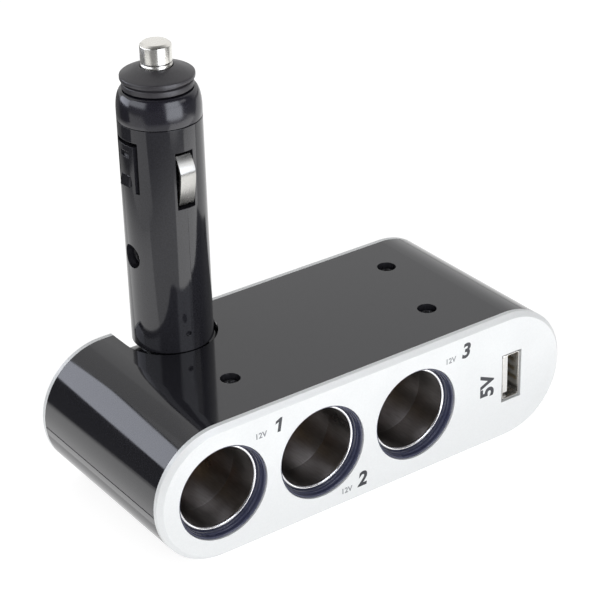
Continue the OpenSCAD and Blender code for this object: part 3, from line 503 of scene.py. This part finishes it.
def make_ring(materials):
    """Screw ring with a domed shoulder and an inner lip that holds the cap."""
    low, high = RING_LOW.z, RING_HIGH.z
    skirt = 2.2
    top_r = 8.9
    bore_r = 7.8
    lip_r = 6.55
    lip_low = high - RING_LIP_T
    corner, corner_mid = 0.25, 0.07
    dome_inset = 0.3
    dome_steps = 16
    dome = []
    for k in range(dome_steps + 1):
        angle = math.pi / 2 * k / dome_steps
        dome.append((top_r + (PLUG_R - top_r) * math.cos(angle),
                     low + skirt + (high - low - skirt) * math.sin(angle)))
    profile = [(bore_r, low), (PLUG_R - corner, low), (PLUG_R - corner_mid, low + corner_mid),
               (PLUG_R, low + corner), *dome, (top_r - dome_inset, high), (lip_r, high),
               (lip_r, lip_low), (bore_r, lip_low)]
    builder = bmesh.new()
    add_lathe(builder, profile, NOSE_PLACE, ALONG_Z, NOSE_STEPS)
    finish_object("ring", builder, "gloss_ring", "screw_ring", materials, ("screw_ring",),
                  sharp=42)


def make_cap(materials):
    """Nose cap with a flange under the ring's lip, a band, a groove and a conical top."""
    low, top = CAP_LOW.z, CAP_HIGH.z
    rim_r = (CAP_HIGH.x - CAP_LOW.x) / 2
    rim_high = top - 1.8
    rim_low = rim_high - 1.2
    band_high = rim_low - 0.8
    band_low = band_high - 1.4
    play = 0.1
    flange_high = RING_HIGH.z - RING_LIP_T - play
    neck_r, flange_r = 6.4, 7.65
    band_r, groove_r = 8.7, 8.1
    bore_wide = 4.8
    bore_tip = TIP_R + TIP_CLEAR
    slope = 0.25
    shoulder = 0.35
    mouth = 0.2
    cone_r, cone_z = bore_tip + 1.6, top - 0.5
    corner = 0.16
    profile = [(bore_wide, low), (flange_r, low), (flange_r, flange_high),
               (neck_r, flange_high), (neck_r, band_low), (band_r, band_low),
               (band_r, band_high), (groove_r, band_high + slope), (groove_r, rim_low - slope),
               (rim_r, rim_low), (rim_r, rim_high - slope), (rim_r - shoulder, rim_high),
               (cone_r, cone_z), (bore_tip + mouth, top), (bore_tip, top - mouth),
               (bore_tip, rim_high), (bore_wide, rim_high)]
    builder = bmesh.new()
    add_lathe(builder, rounded(profile, corner, steps=3), NOSE_PLACE, ALONG_Z, NOSE_STEPS)
    finish_object("cap", builder, "matte_black", "nose_cap", materials, ("nose_cap",),
                  sharp=42)


def make_tip(materials):
    """Sprung tip with a flange inside the cap, a fine groove and a bevelled end."""
    low, high = box_mm("tip_contact")
    bottom, top = low.z, high.z
    flange_r = (high.x - low.x) / 2
    flange_high = bottom + 0.9
    groove_low = CAP_HIGH.z + 0.35
    groove_deep, groove_slope, groove_w = 0.14, 0.25, 0.2
    groove_r = TIP_R - groove_deep
    bevel = 0.75
    crown, crown_w = 0.08, 0.25
    corner = 0.12
    groove_high = groove_low + groove_slope + groove_w
    profile = [(0, bottom), (flange_r, bottom), (flange_r, flange_high), (TIP_R, flange_high),
               (TIP_R, groove_low), (groove_r, groove_low + groove_slope),
               (groove_r, groove_high), (TIP_R, groove_high + groove_slope),
               (TIP_R, top - bevel), (TIP_R - bevel, top - crown),
               (TIP_R - bevel - crown_w, top), (0, top)]
    builder = bmesh.new()
    outline = rounded(profile, corner, steps=3, closed=False)
    add_lathe(builder, outline, NOSE_PLACE, ALONG_Z, closed=False)
    finish_object("tip", builder, "brushed_tip", "tip_contact", materials, ("tip_contact",),
                  sharp=32)


def make_fuse_spring(materials):
    """Coil behind the fuse."""
    low, high = box_mm("fuse_spring")
    wire_r = 0.35
    turns = 5
    per_turn = 24
    sides = 10
    coil_r = (high.x - low.x) / 2 - wire_r
    rise = high.z - low.z - 2 * wire_r
    upward = Vector(ALONG_Z)
    builder = bmesh.new()
    rings = []
    for k in range(turns * per_turn + 1):
        angle = 2 * math.pi * k / per_turn
        outward = Vector((math.cos(angle), math.sin(angle), 0))
        height = low.z + wire_r + rise * k / (turns * per_turn)
        middle = Vector((ARM_X, ARM_Y, height)) + outward * coil_r
        ring = []
        for side in range(sides):
            turn = 2 * math.pi * side / sides
            offset = outward * math.cos(turn) + upward * math.sin(turn)
            ring.append(builder.verts.new((middle + offset * wire_r) * MM))
        rings.append(ring)
    bridge_all(builder, rings)
    builder.faces.new(rings[0])
    builder.faces.new(rings[-1])
    coil = finish_object("coil_spring", builder, "steel", "plug_arm", materials,
                         ("fuse_spring",))
    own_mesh(coil)


# The side contacts


def contact_outline(low_z, high_z, out_r):
    """Outer line of a side contact: an upright foot, a fold and a bowed crown."""
    foot_r = 7.2
    window_low = 75.2
    fold_r = 0.8
    knee_r, knee = PLUG_R - 0.3, window_low + 1.0
    peak = window_low + 9.4
    end_r = PLUG_R - 0.8
    bow = 1.6
    steps = 12
    crown = []
    for k in range(steps):
        away = 1 - k / steps
        crown.append((out_r - (out_r - knee_r) * away ** bow, peak - (peak - knee) * away))
    for k in range(steps + 1):
        away = k / steps
        crown.append((out_r - (out_r - end_r) * away ** bow, peak + (high_z - peak) * away))
    foot = [(foot_r, low_z), (foot_r, window_low), crown[0], crown[1]]
    return rounded(foot, fold_r, steps=5, closed=False)[:-1] + crown[1:]


def make_side_contact(side, materials):
    """Bent spring sheet with soft edges, in front or behind."""
    place = "front" if side == FRONT else "rear"
    node = f"side_contact_{place}"
    low, high = box_mm(node)
    width = high.x - low.x
    sheet = 0.6
    edge_r, edge_angle = 0.1, 60
    outer = contact_outline(low.z, high.z, max(abs(low.y - ARM_Y), abs(high.y - ARM_Y)))
    inner = []
    for k in range(len(outer)):
        ahead = Vector(outer[min(k + 1, len(outer) - 1)]) - Vector(outer[max(k - 1, 0)])
        normal = Vector((-ahead.y, ahead.x)).normalized()
        inner.append(tuple(Vector(outer[k]) + normal * sheet))
    builder = bmesh.new()
    add_prism(builder, outer + inner[::-1], (ARM_X - width / 2, ARM_Y, 0), (0, side, 0),
              ALONG_Z, ALONG_X, width)
    piece = finish_object(f"leaf_{place}", builder, "spring_leaf", node, materials, (node,),
                          sharp=30)
    soft = piece.modifiers.new("soft_edges", "BEVEL")
    soft.width = edge_r * MM
    soft.segments = 2
    soft.limit_method = "ANGLE"
    soft.angle_limit = math.radians(edge_angle)


# Screws

SHANK_R = 1.3
SCREW_STEPS = 64
# Radii of a head's rings, closer together where the recess and the rim turn
HEAD_SHARES = (0.0, 0.12, 0.2, 0.28, 0.36, 0.44, 0.5, 0.56, 0.62, 0.7, 0.8, 0.88, 0.94, 0.98, 1.0)


def within_one(value):
    return min(1.0, max(0.0, value))


def head_height(x, y):
    """Height of a crowned head with a cross recess, as a share, at a place on a unit disc."""
    arm_half, arm_slope = 0.16, 0.04
    arm_long, end_slope = 0.58, 0.03
    depth, taper = 0.55, 0.3
    crown, rim, rim_from = 0.35, 0.12, 0.97
    radius = math.hypot(x, y)
    near, far = sorted((abs(x), abs(y)))
    across = within_one((arm_half + arm_slope - near) / (2 * arm_slope))
    along = within_one((arm_long + end_slope - far) / (2 * end_slope))
    surface = 1 - crown * radius ** 3 - (rim if radius > rim_from else 0)
    return surface - depth * across * along * (1 - taper * far / arm_long)


def add_cross_screw(builder, place, axis, head_r, head_h, shank_l):
    """Pan head with a cross recess on a plain shank; place is the middle of the seat."""
    turn = turn_to(axis)
    rings = []
    for share in HEAD_SHARES:
        ring = []
        for k in range(SCREW_STEPS if share else 1):
            angle = 2 * math.pi * k / SCREW_STEPS
            x, y = share * math.cos(angle), share * math.sin(angle)
            local = Vector((x * head_r, y * head_r, head_height(x, y) * head_h))
            ring.append(builder.verts.new((Vector(place) + turn @ local) * MM))
        rings.append(ring)
    for radius, along in ((head_r, 0), (SHANK_R, 0), (SHANK_R, -shank_l)):
        rings.append(circle(builder, place, turn, radius, along, SCREW_STEPS))
    bridge_all(builder, rings)
    builder.faces.new(rings[-1])


def make_case_screws(materials):
    low, high = box_mm("case_screws")
    head_r, head_h = 2.3, 1.6
    shank_l = 24.0
    left_y, middle_x = -10.4, 30.1
    places = ((low.x + head_r, left_y), (middle_x, low.y + head_r),
              (high.x - head_r, high.y - head_r))
    builder = bmesh.new()
    for x, y in places:
        add_cross_screw(builder, (x, y, high.z - head_h), ALONG_Z, head_r, head_h, shank_l)
    finish_object("screw_heads", builder, "black_steel", "housing", materials,
                  ("case_screws",), sharp=50)


def make_plug_screw(materials):
    low, high = box_mm("plug_screw")
    head_r, head_h = 2.8, 1.9
    seat = (low.x + head_h, (low.y + high.y) / 2, (low.z + high.z) / 2)
    builder = bmesh.new()
    add_cross_screw(builder, seat, (-1, 0, 0), head_r, head_h, high.x - low.x - head_h)
    finish_object("plug_screw_head", builder, "black_steel", "plug_arm", materials,
                  ("plug_screw",), sharp=50)


# The USB outlet


def round_box(half_w, half_h, radius, steps=6):
    """Closed outline of a box with round corners, counter-clockwise."""
    points = []
    for right, up, start in ((1, 1, 0), (-1, 1, 90), (-1, -1, 180), (1, -1, 270)):
        points += arc_points(right * (half_w - radius), up * (half_h - radius), radius,
                             start, start + 90, steps)
    return points


def make_usb(materials):
    """Drawn sheet shell of the outlet with a slightly flared mouth and a closed back."""
    low, high = box_mm("usb_shell")
    middle = (low + high) / 2
    half_w = (high.x - low.x) / 2
    half_h = (high.z - low.z) / 2
    front, back = low.y, high.y
    sheet = 0.35
    outer_r, inner_r = 0.8, 0.5
    # Each loop: how far inside the shell's outline, corner radius, place along y
    loops = ((0, outer_r, back), (0, outer_r, front + 0.12), (0.1, 0.75, front),
             (0.25, 0.7, front), (sheet, inner_r, front + 0.25), (sheet, inner_r, back - sheet))
    builder = bmesh.new()
    rings = []
    for inside, corner_r, y in loops:
        ring = []
        for across, upward in round_box(half_w - inside, half_h - inside, corner_r):
            corner = Vector((middle.x + across, y, middle.z + upward))
            ring.append(builder.verts.new(corner * MM))
        rings.append(ring)
    bridge_all(builder, rings)
    builder.faces.new(rings[0])
    builder.faces.new(rings[-1])
    finish_object("usb_can", builder, "usb_sheet", "housing", materials, ("usb_shell",),
                  sharp=30)


# Printed marks

PRINT_T = 0.01
PRINT_LIFT = 0.004
CAPITAL_SHARE = 0.7
SLANT = 0.18
# Places on the plate as (x, z), with each mark's height and how much it is thickened
FIGURE_ONE = (-28.1, 30.9)
FIGURE_ONE_H = 3.8
FIGURES = (("2", -3.4, 5.6), ("3", 29.8, 30.8))
FIGURE_H = 3.9
FIGURE_BOLD = 0.2
VOLTS = ((-33.2, 29.9), (-8.2, 4.3), (24.9, 29.8))
VOLTS_H = 1.5
VOLTS_BOLD = 0.05
OUTLET = (37.4, 17.9)
OUTLET_H = 4.2
OUTLET_BOLD = 0.22
# A figure one with its flag, since the font's own reads as a plain stroke
ONE_SHARES = ((0.10, 0), (0.34, 0), (0.34, 1), (0.18, 1), (-0.14, 0.82), (-0.14, 0.62),
              (0.10, 0.72))


def make_mark(name, text, centre, height, finish, materials, turned=False, bold=0.0, slant=0.0):
    """Print on the front plate, a hair proud of it."""
    curve = bpy.data.curves.new(name, "FONT")
    curve.body = text
    curve.size = height * MM / CAPITAL_SHARE
    curve.align_x = "CENTER"
    curve.align_y = "CENTER"
    curve.extrude = PRINT_T * MM
    curve.offset = bold * MM
    curve.shear = slant
    holder = bpy.data.objects.new(name, curve)
    bpy.context.collection.objects.link(holder)
    stand = Matrix.Rotation(math.pi / 2, 4, "X")
    spin = Matrix.Rotation(math.pi / 2 if turned else 0, 4, "Z")
    place = Matrix.Translation(Vector((centre[0], FACE_Y - PRINT_LIFT, centre[1])) * MM)
    mesh = bpy.data.meshes.new_from_object(holder)
    mesh.transform(place @ stand @ spin)
    bpy.data.objects.remove(holder)
    mesh.materials.clear()
    mesh.materials.append(materials[finish])
    piece = bpy.data.objects.new(name, mesh)
    bpy.context.collection.objects.link(piece)
    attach(piece, "housing")


def make_one(materials):
    """The flagged figure one, leaned as the other figures are."""
    lean_from, sink = 0.1, 0.006
    leaned = []
    for u, v in ONE_SHARES:
        up = v - 1 / 2
        leaned.append(((u - lean_from + SLANT * up) * FIGURE_ONE_H, up * FIGURE_ONE_H))
    x, z = FIGURE_ONE
    builder = bmesh.new()
    add_prism(builder, leaned, (x, FACE_Y + sink, z), ALONG_X, ALONG_Z, (0, -1, 0), 2 * PRINT_T)
    finish_object("mark_1", builder, "mark_black", "housing", materials)


def make_marks(materials):
    make_one(materials)
    for text, x, z in FIGURES:
        make_mark(f"mark_{text}", text, (x, z), FIGURE_H, "mark_black", materials,
                  bold=FIGURE_BOLD, slant=SLANT)
    for k, centre in enumerate(VOLTS, 1):
        make_mark(f"mark_volts_{k}", "12V", centre, VOLTS_H, "mark_grey", materials,
                  bold=VOLTS_BOLD)
    make_mark("mark_outlet", "5V", OUTLET, OUTLET_H, "mark_black", materials, turned=True,
              bold=OUTLET_BOLD)


# Stage: floor, light and cards that only reflections see

FLOOR_HALF = 3000.0
FLOOR_GAP = 0.05
FLOOR_CARD_LIFT = 1.0
FLOOR_GREY = (0.4, 0.4, 0.4, 1)
# Strength of the floor for the camera, for diffuse light, and for reflections near and far
FLOOR_GLOW = 0.86
FLOOR_BOUNCE = 0.55
MIRRORED_NEAR = 0.9
MIRRORED_FAR = 0.22
# Distances from the middle, in metres, between which a mirrored floor fades
NEAR_FLOOR = 0.15
FAR_FLOOR = 0.235


def fading(nodes, near, far):
    """Strength that goes from near to far with the distance from the object's middle."""
    place = nodes.add("ShaderNodeTexCoord")
    reach = nodes.add("ShaderNodeVectorMath", operation="LENGTH")
    nodes.link(place.outputs["Object"], reach.inputs[0])
    return nodes.spread(reach.outputs["Value"], near, far, NEAR_FLOOR, FAR_FLOOR,
                        interpolation_type="SMOOTHSTEP")


def add_flat(name, low, high, height, nodes):
    """Flat stage sheet between two corners."""
    (x0, y0), (x1, y1) = low, high
    mesh = bpy.data.meshes.new(name)
    outline = [(x0, y0, height), (x1, y0, height), (x1, y1, height), (x0, y1, height)]
    mesh.from_pydata([Vector(corner) * MM for corner in outline], [], [(0, 1, 2, 3)])
    mesh.materials.append(nodes.owner)
    sheet = bpy.data.objects.new(name, mesh)
    bpy.context.collection.objects.link(sheet)
    return sheet


def make_floor():
    """White paper with a soft shadow, clear from below; reflections see it fade with distance."""
    nodes = new_material("floor_paper")
    path = nodes.add("ShaderNodeLightPath")
    seen = nodes.math("MAXIMUM", path.outputs["Is Camera Ray"],
                      path.outputs["Is Transmission Ray"])
    glow = nodes.glow(nodes.spread(seen, FLOOR_BOUNCE, FLOOR_GLOW, 0, 1))
    diffuse = nodes.add("ShaderNodeBsdfDiffuse", Color=FLOOR_GREY)
    paper = nodes.add("ShaderNodeAddShader")
    nodes.link(diffuse.outputs[0], paper.inputs[0])
    nodes.link(glow, paper.inputs[1])
    mirrored = nodes.glow(fading(nodes, MIRRORED_NEAR, MIRRORED_FAR))
    above = nodes.mix(path.outputs["Is Glossy Ray"], paper.outputs[0], mirrored)
    side = nodes.add("ShaderNodeNewGeometry")
    nodes.show(nodes.mix(side.outputs["Backfacing"], above, nodes.clear()))
    add_flat("floor", (-FLOOR_HALF, -FLOOR_HALF), (FLOOR_HALF, FLOOR_HALF), -FLOOR_GAP, nodes)


def direction(azimuth, elevation):
    """Unit vector; azimuth is counted from +Y towards +X, in degrees."""
    a, e = math.radians(azimuth), math.radians(elevation)
    return Vector((math.sin(a) * math.cos(e), math.cos(a) * math.cos(e), math.sin(e)))


def show_in_reflections_only(thing):
    thing.visible_camera = False
    thing.visible_diffuse = False
    thing.visible_shadow = False
    thing.visible_transmission = False
    thing.visible_volume_scatter = False


def soft_edge(nodes, value, share):
    """One in the middle of a -1 to 1 range, falling to zero over the outer share."""
    return nodes.spread(nodes.math("ABSOLUTE", value), 1.0, 0.0, 1.0 - share, 1.0,
                        interpolation_type="SMOOTHSTEP")


def card_paper(name, strength, colour, soft):
    """Glow that turns clear towards the edges of a card two units wide."""
    nodes = new_material(name)
    place = nodes.add("ShaderNodeTexCoord")
    parts = nodes.add("ShaderNodeSeparateXYZ")
    nodes.link(place.outputs["Object"], parts.inputs[0])
    shown = nodes.math("MULTIPLY", soft_edge(nodes, parts.outputs["X"], soft),
                       soft_edge(nodes, parts.outputs["Y"], soft))
    glow = nodes.add("ShaderNodeEmission", Color=(*colour, 1), Strength=strength)
    nodes.show(nodes.mix(shown, nodes.clear(), glow.outputs[0]))
    return nodes.owner


def make_card(name, azimuth, distance, half_width, low, high, strength, colour=WHITE, soft=0.4):
    """Upright card with soft edges, seen only in reflections, placed round the plug's axis."""
    mesh = bpy.data.meshes.new(name)
    mesh.from_pydata([(-1, -1, 0), (1, -1, 0), (1, 1, 0), (-1, 1, 0)], [], [(0, 1, 2, 3)])
    mesh.materials.append(card_paper(name, strength, colour, soft))
    card = bpy.data.objects.new(name, mesh)
    towards = direction(azimuth, 0)
    middle = Vector((ARM_X, ARM_Y, (low + high) / 2)) + towards * distance
    sideways = Vector((towards.y, -towards.x, 0))
    turn = Matrix((sideways, Vector(ALONG_Z), towards)).transposed()
    size = Matrix.Diagonal((half_width * MM, (high - low) / 2 * MM, 1, 1))
    card.matrix_world = Matrix.Translation(middle * MM) @ turn.to_4x4() @ size
    show_in_reflections_only(card)
    bpy.context.collection.objects.link(card)


def make_floor_card(name, low, high, near, far):
    """Brighter patch just over the floor, seen only in reflections."""
    nodes = new_material(name)
    nodes.show(nodes.glow(fading(nodes, near, far)))
    show_in_reflections_only(add_flat(name, low, high, FLOOR_CARD_LIFT, nodes))


BLUE_PAPER = (0.86, 0.89, 1.0)
COOL_PAPER = (0.9, 0.93, 1.0)
# The direction that the rounded left end of the body reflects
LEFT_END = -44.6


def make_cards():
    """Cards for the left end, the plug, the ring and the side contact."""
    make_card("panel_left", azimuth=LEFT_END, distance=185, half_width=67, low=83, high=187,
              strength=4.2, colour=BLUE_PAPER, soft=0.1)
    make_card("shade_rim", azimuth=LEFT_END, distance=187, half_width=70, low=140, high=196,
              strength=0.4, soft=0.05)
    make_card("panel_far_left", azimuth=-88, distance=180, half_width=100, low=96, high=250,
              strength=3.0, colour=COOL_PAPER)
    make_card("shade_left", azimuth=LEFT_END, distance=188, half_width=72, low=0, high=90,
              strength=0.06, soft=0.08)
    make_card("shade_edge", azimuth=-10, distance=192, half_width=62, low=112, high=260,
              strength=0.8, soft=0.25)
    make_card("panel_front", azimuth=174, distance=190, half_width=84, low=95, high=235,
              strength=4.8, colour=COOL_PAPER)
    make_card("panel_ring", azimuth=174, distance=60, half_width=26, low=78, high=106,
              strength=4.8, colour=COOL_PAPER, soft=0.3)
    make_card("panel_leaf", azimuth=143, distance=200, half_width=40, low=132, high=200,
              strength=1.8)


def make_floor_cards():
    """Patches that give the upright faces their bands of light; none lies over another."""
    make_floor_card("floor_strip", (-42, -170), (200, -50), near=2.2, far=1.5)
    make_floor_card("floor_far", (-60, -300), (200, -205), near=1.2, far=1.2)
    make_floor_card("floor_left", (-420, -60), (-180, 260), near=1.0, far=1.0)
    make_floor_card("floor_near", (-179, -20), (-66, 260), near=1.5, far=0.2)
    make_floor_card("floor_right", (78, -40), (700, 700), near=1.1, far=1.1)


# Strengths of the world: for diffuse light, and for reflections in front and behind
AMBIENT = 0.6
GLOSS_DIM = 0.12
GLOSS_BRIGHT = 1.2
BEHIND = direction(20, 10)
DIM_UNTIL = -0.05
BRIGHT_FROM = 0.35


def make_world():
    """White for the camera, soft grey for diffuse light, bright behind and dim in front for gloss."""
    world = bpy.data.worlds.new("studio")
    bpy.context.scene.world = world
    nodes = Nodes(world, "ShaderNodeOutputWorld")
    place = nodes.add("ShaderNodeTexCoord")
    facing = nodes.add("ShaderNodeVectorMath", operation="DOT_PRODUCT")
    facing.inputs[1].default_value = BEHIND
    nodes.link(place.outputs["Generated"], facing.inputs[0])
    gloss = nodes.spread(facing.outputs["Value"], GLOSS_DIM, GLOSS_BRIGHT, DIM_UNTIL,
                         BRIGHT_FROM)
    path = nodes.add("ShaderNodeLightPath")
    strength = nodes.add("ShaderNodeMix", data_type="FLOAT")
    strength.inputs[2].default_value = AMBIENT
    nodes.link(path.outputs["Is Glossy Ray"], strength.inputs[0])
    nodes.link(gloss, strength.inputs[3])
    lit = nodes.glow(strength.outputs[0], "ShaderNodeBackground")
    white = nodes.add("ShaderNodeBackground", Color=(*WHITE, 1), Strength=1.0)
    nodes.show(nodes.mix(path.outputs["Is Camera Ray"], lit, white.outputs[0]))


def make_light(name, azimuth, elevation, size, power, distance):
    """Square lamp aimed at the object; size and distance are in metres, power in watts."""
    data = bpy.data.lights.new(name, "AREA")
    data.shape = "SQUARE"
    data.size = size
    data.energy = power
    lamp = bpy.data.objects.new(name, data)
    towards = direction(azimuth, elevation)
    lamp.matrix_world = Matrix.Translation(towards * distance) @ turn_to(towards).to_4x4()
    lamp.visible_glossy = False
    bpy.context.collection.objects.link(lamp)


def make_stage():
    make_floor()
    make_world()
    make_light("key", azimuth=-165, elevation=12, size=0.5, power=2.9, distance=0.7)
    make_cards()
    make_floor_cards()


def main():
    bpy.context.scene.view_settings.view_transform = "Standard"
    make_camera()
    materials = make_materials()
    dress_frame(materials)
    for i in SOCKETS:
        make_bezel(i, materials)
        make_tube(i, materials)
        make_tube_lip(i, materials)
    make_ring(materials)
    make_cap(materials)
    make_tip(materials)
    make_fuse_spring(materials)
    for side in (FRONT, REAR):
        make_side_contact(side, materials)
    make_case_screws(materials)
    make_plug_screw(materials)
    make_usb(materials)
    make_marks(materials)
    make_stage()


main()
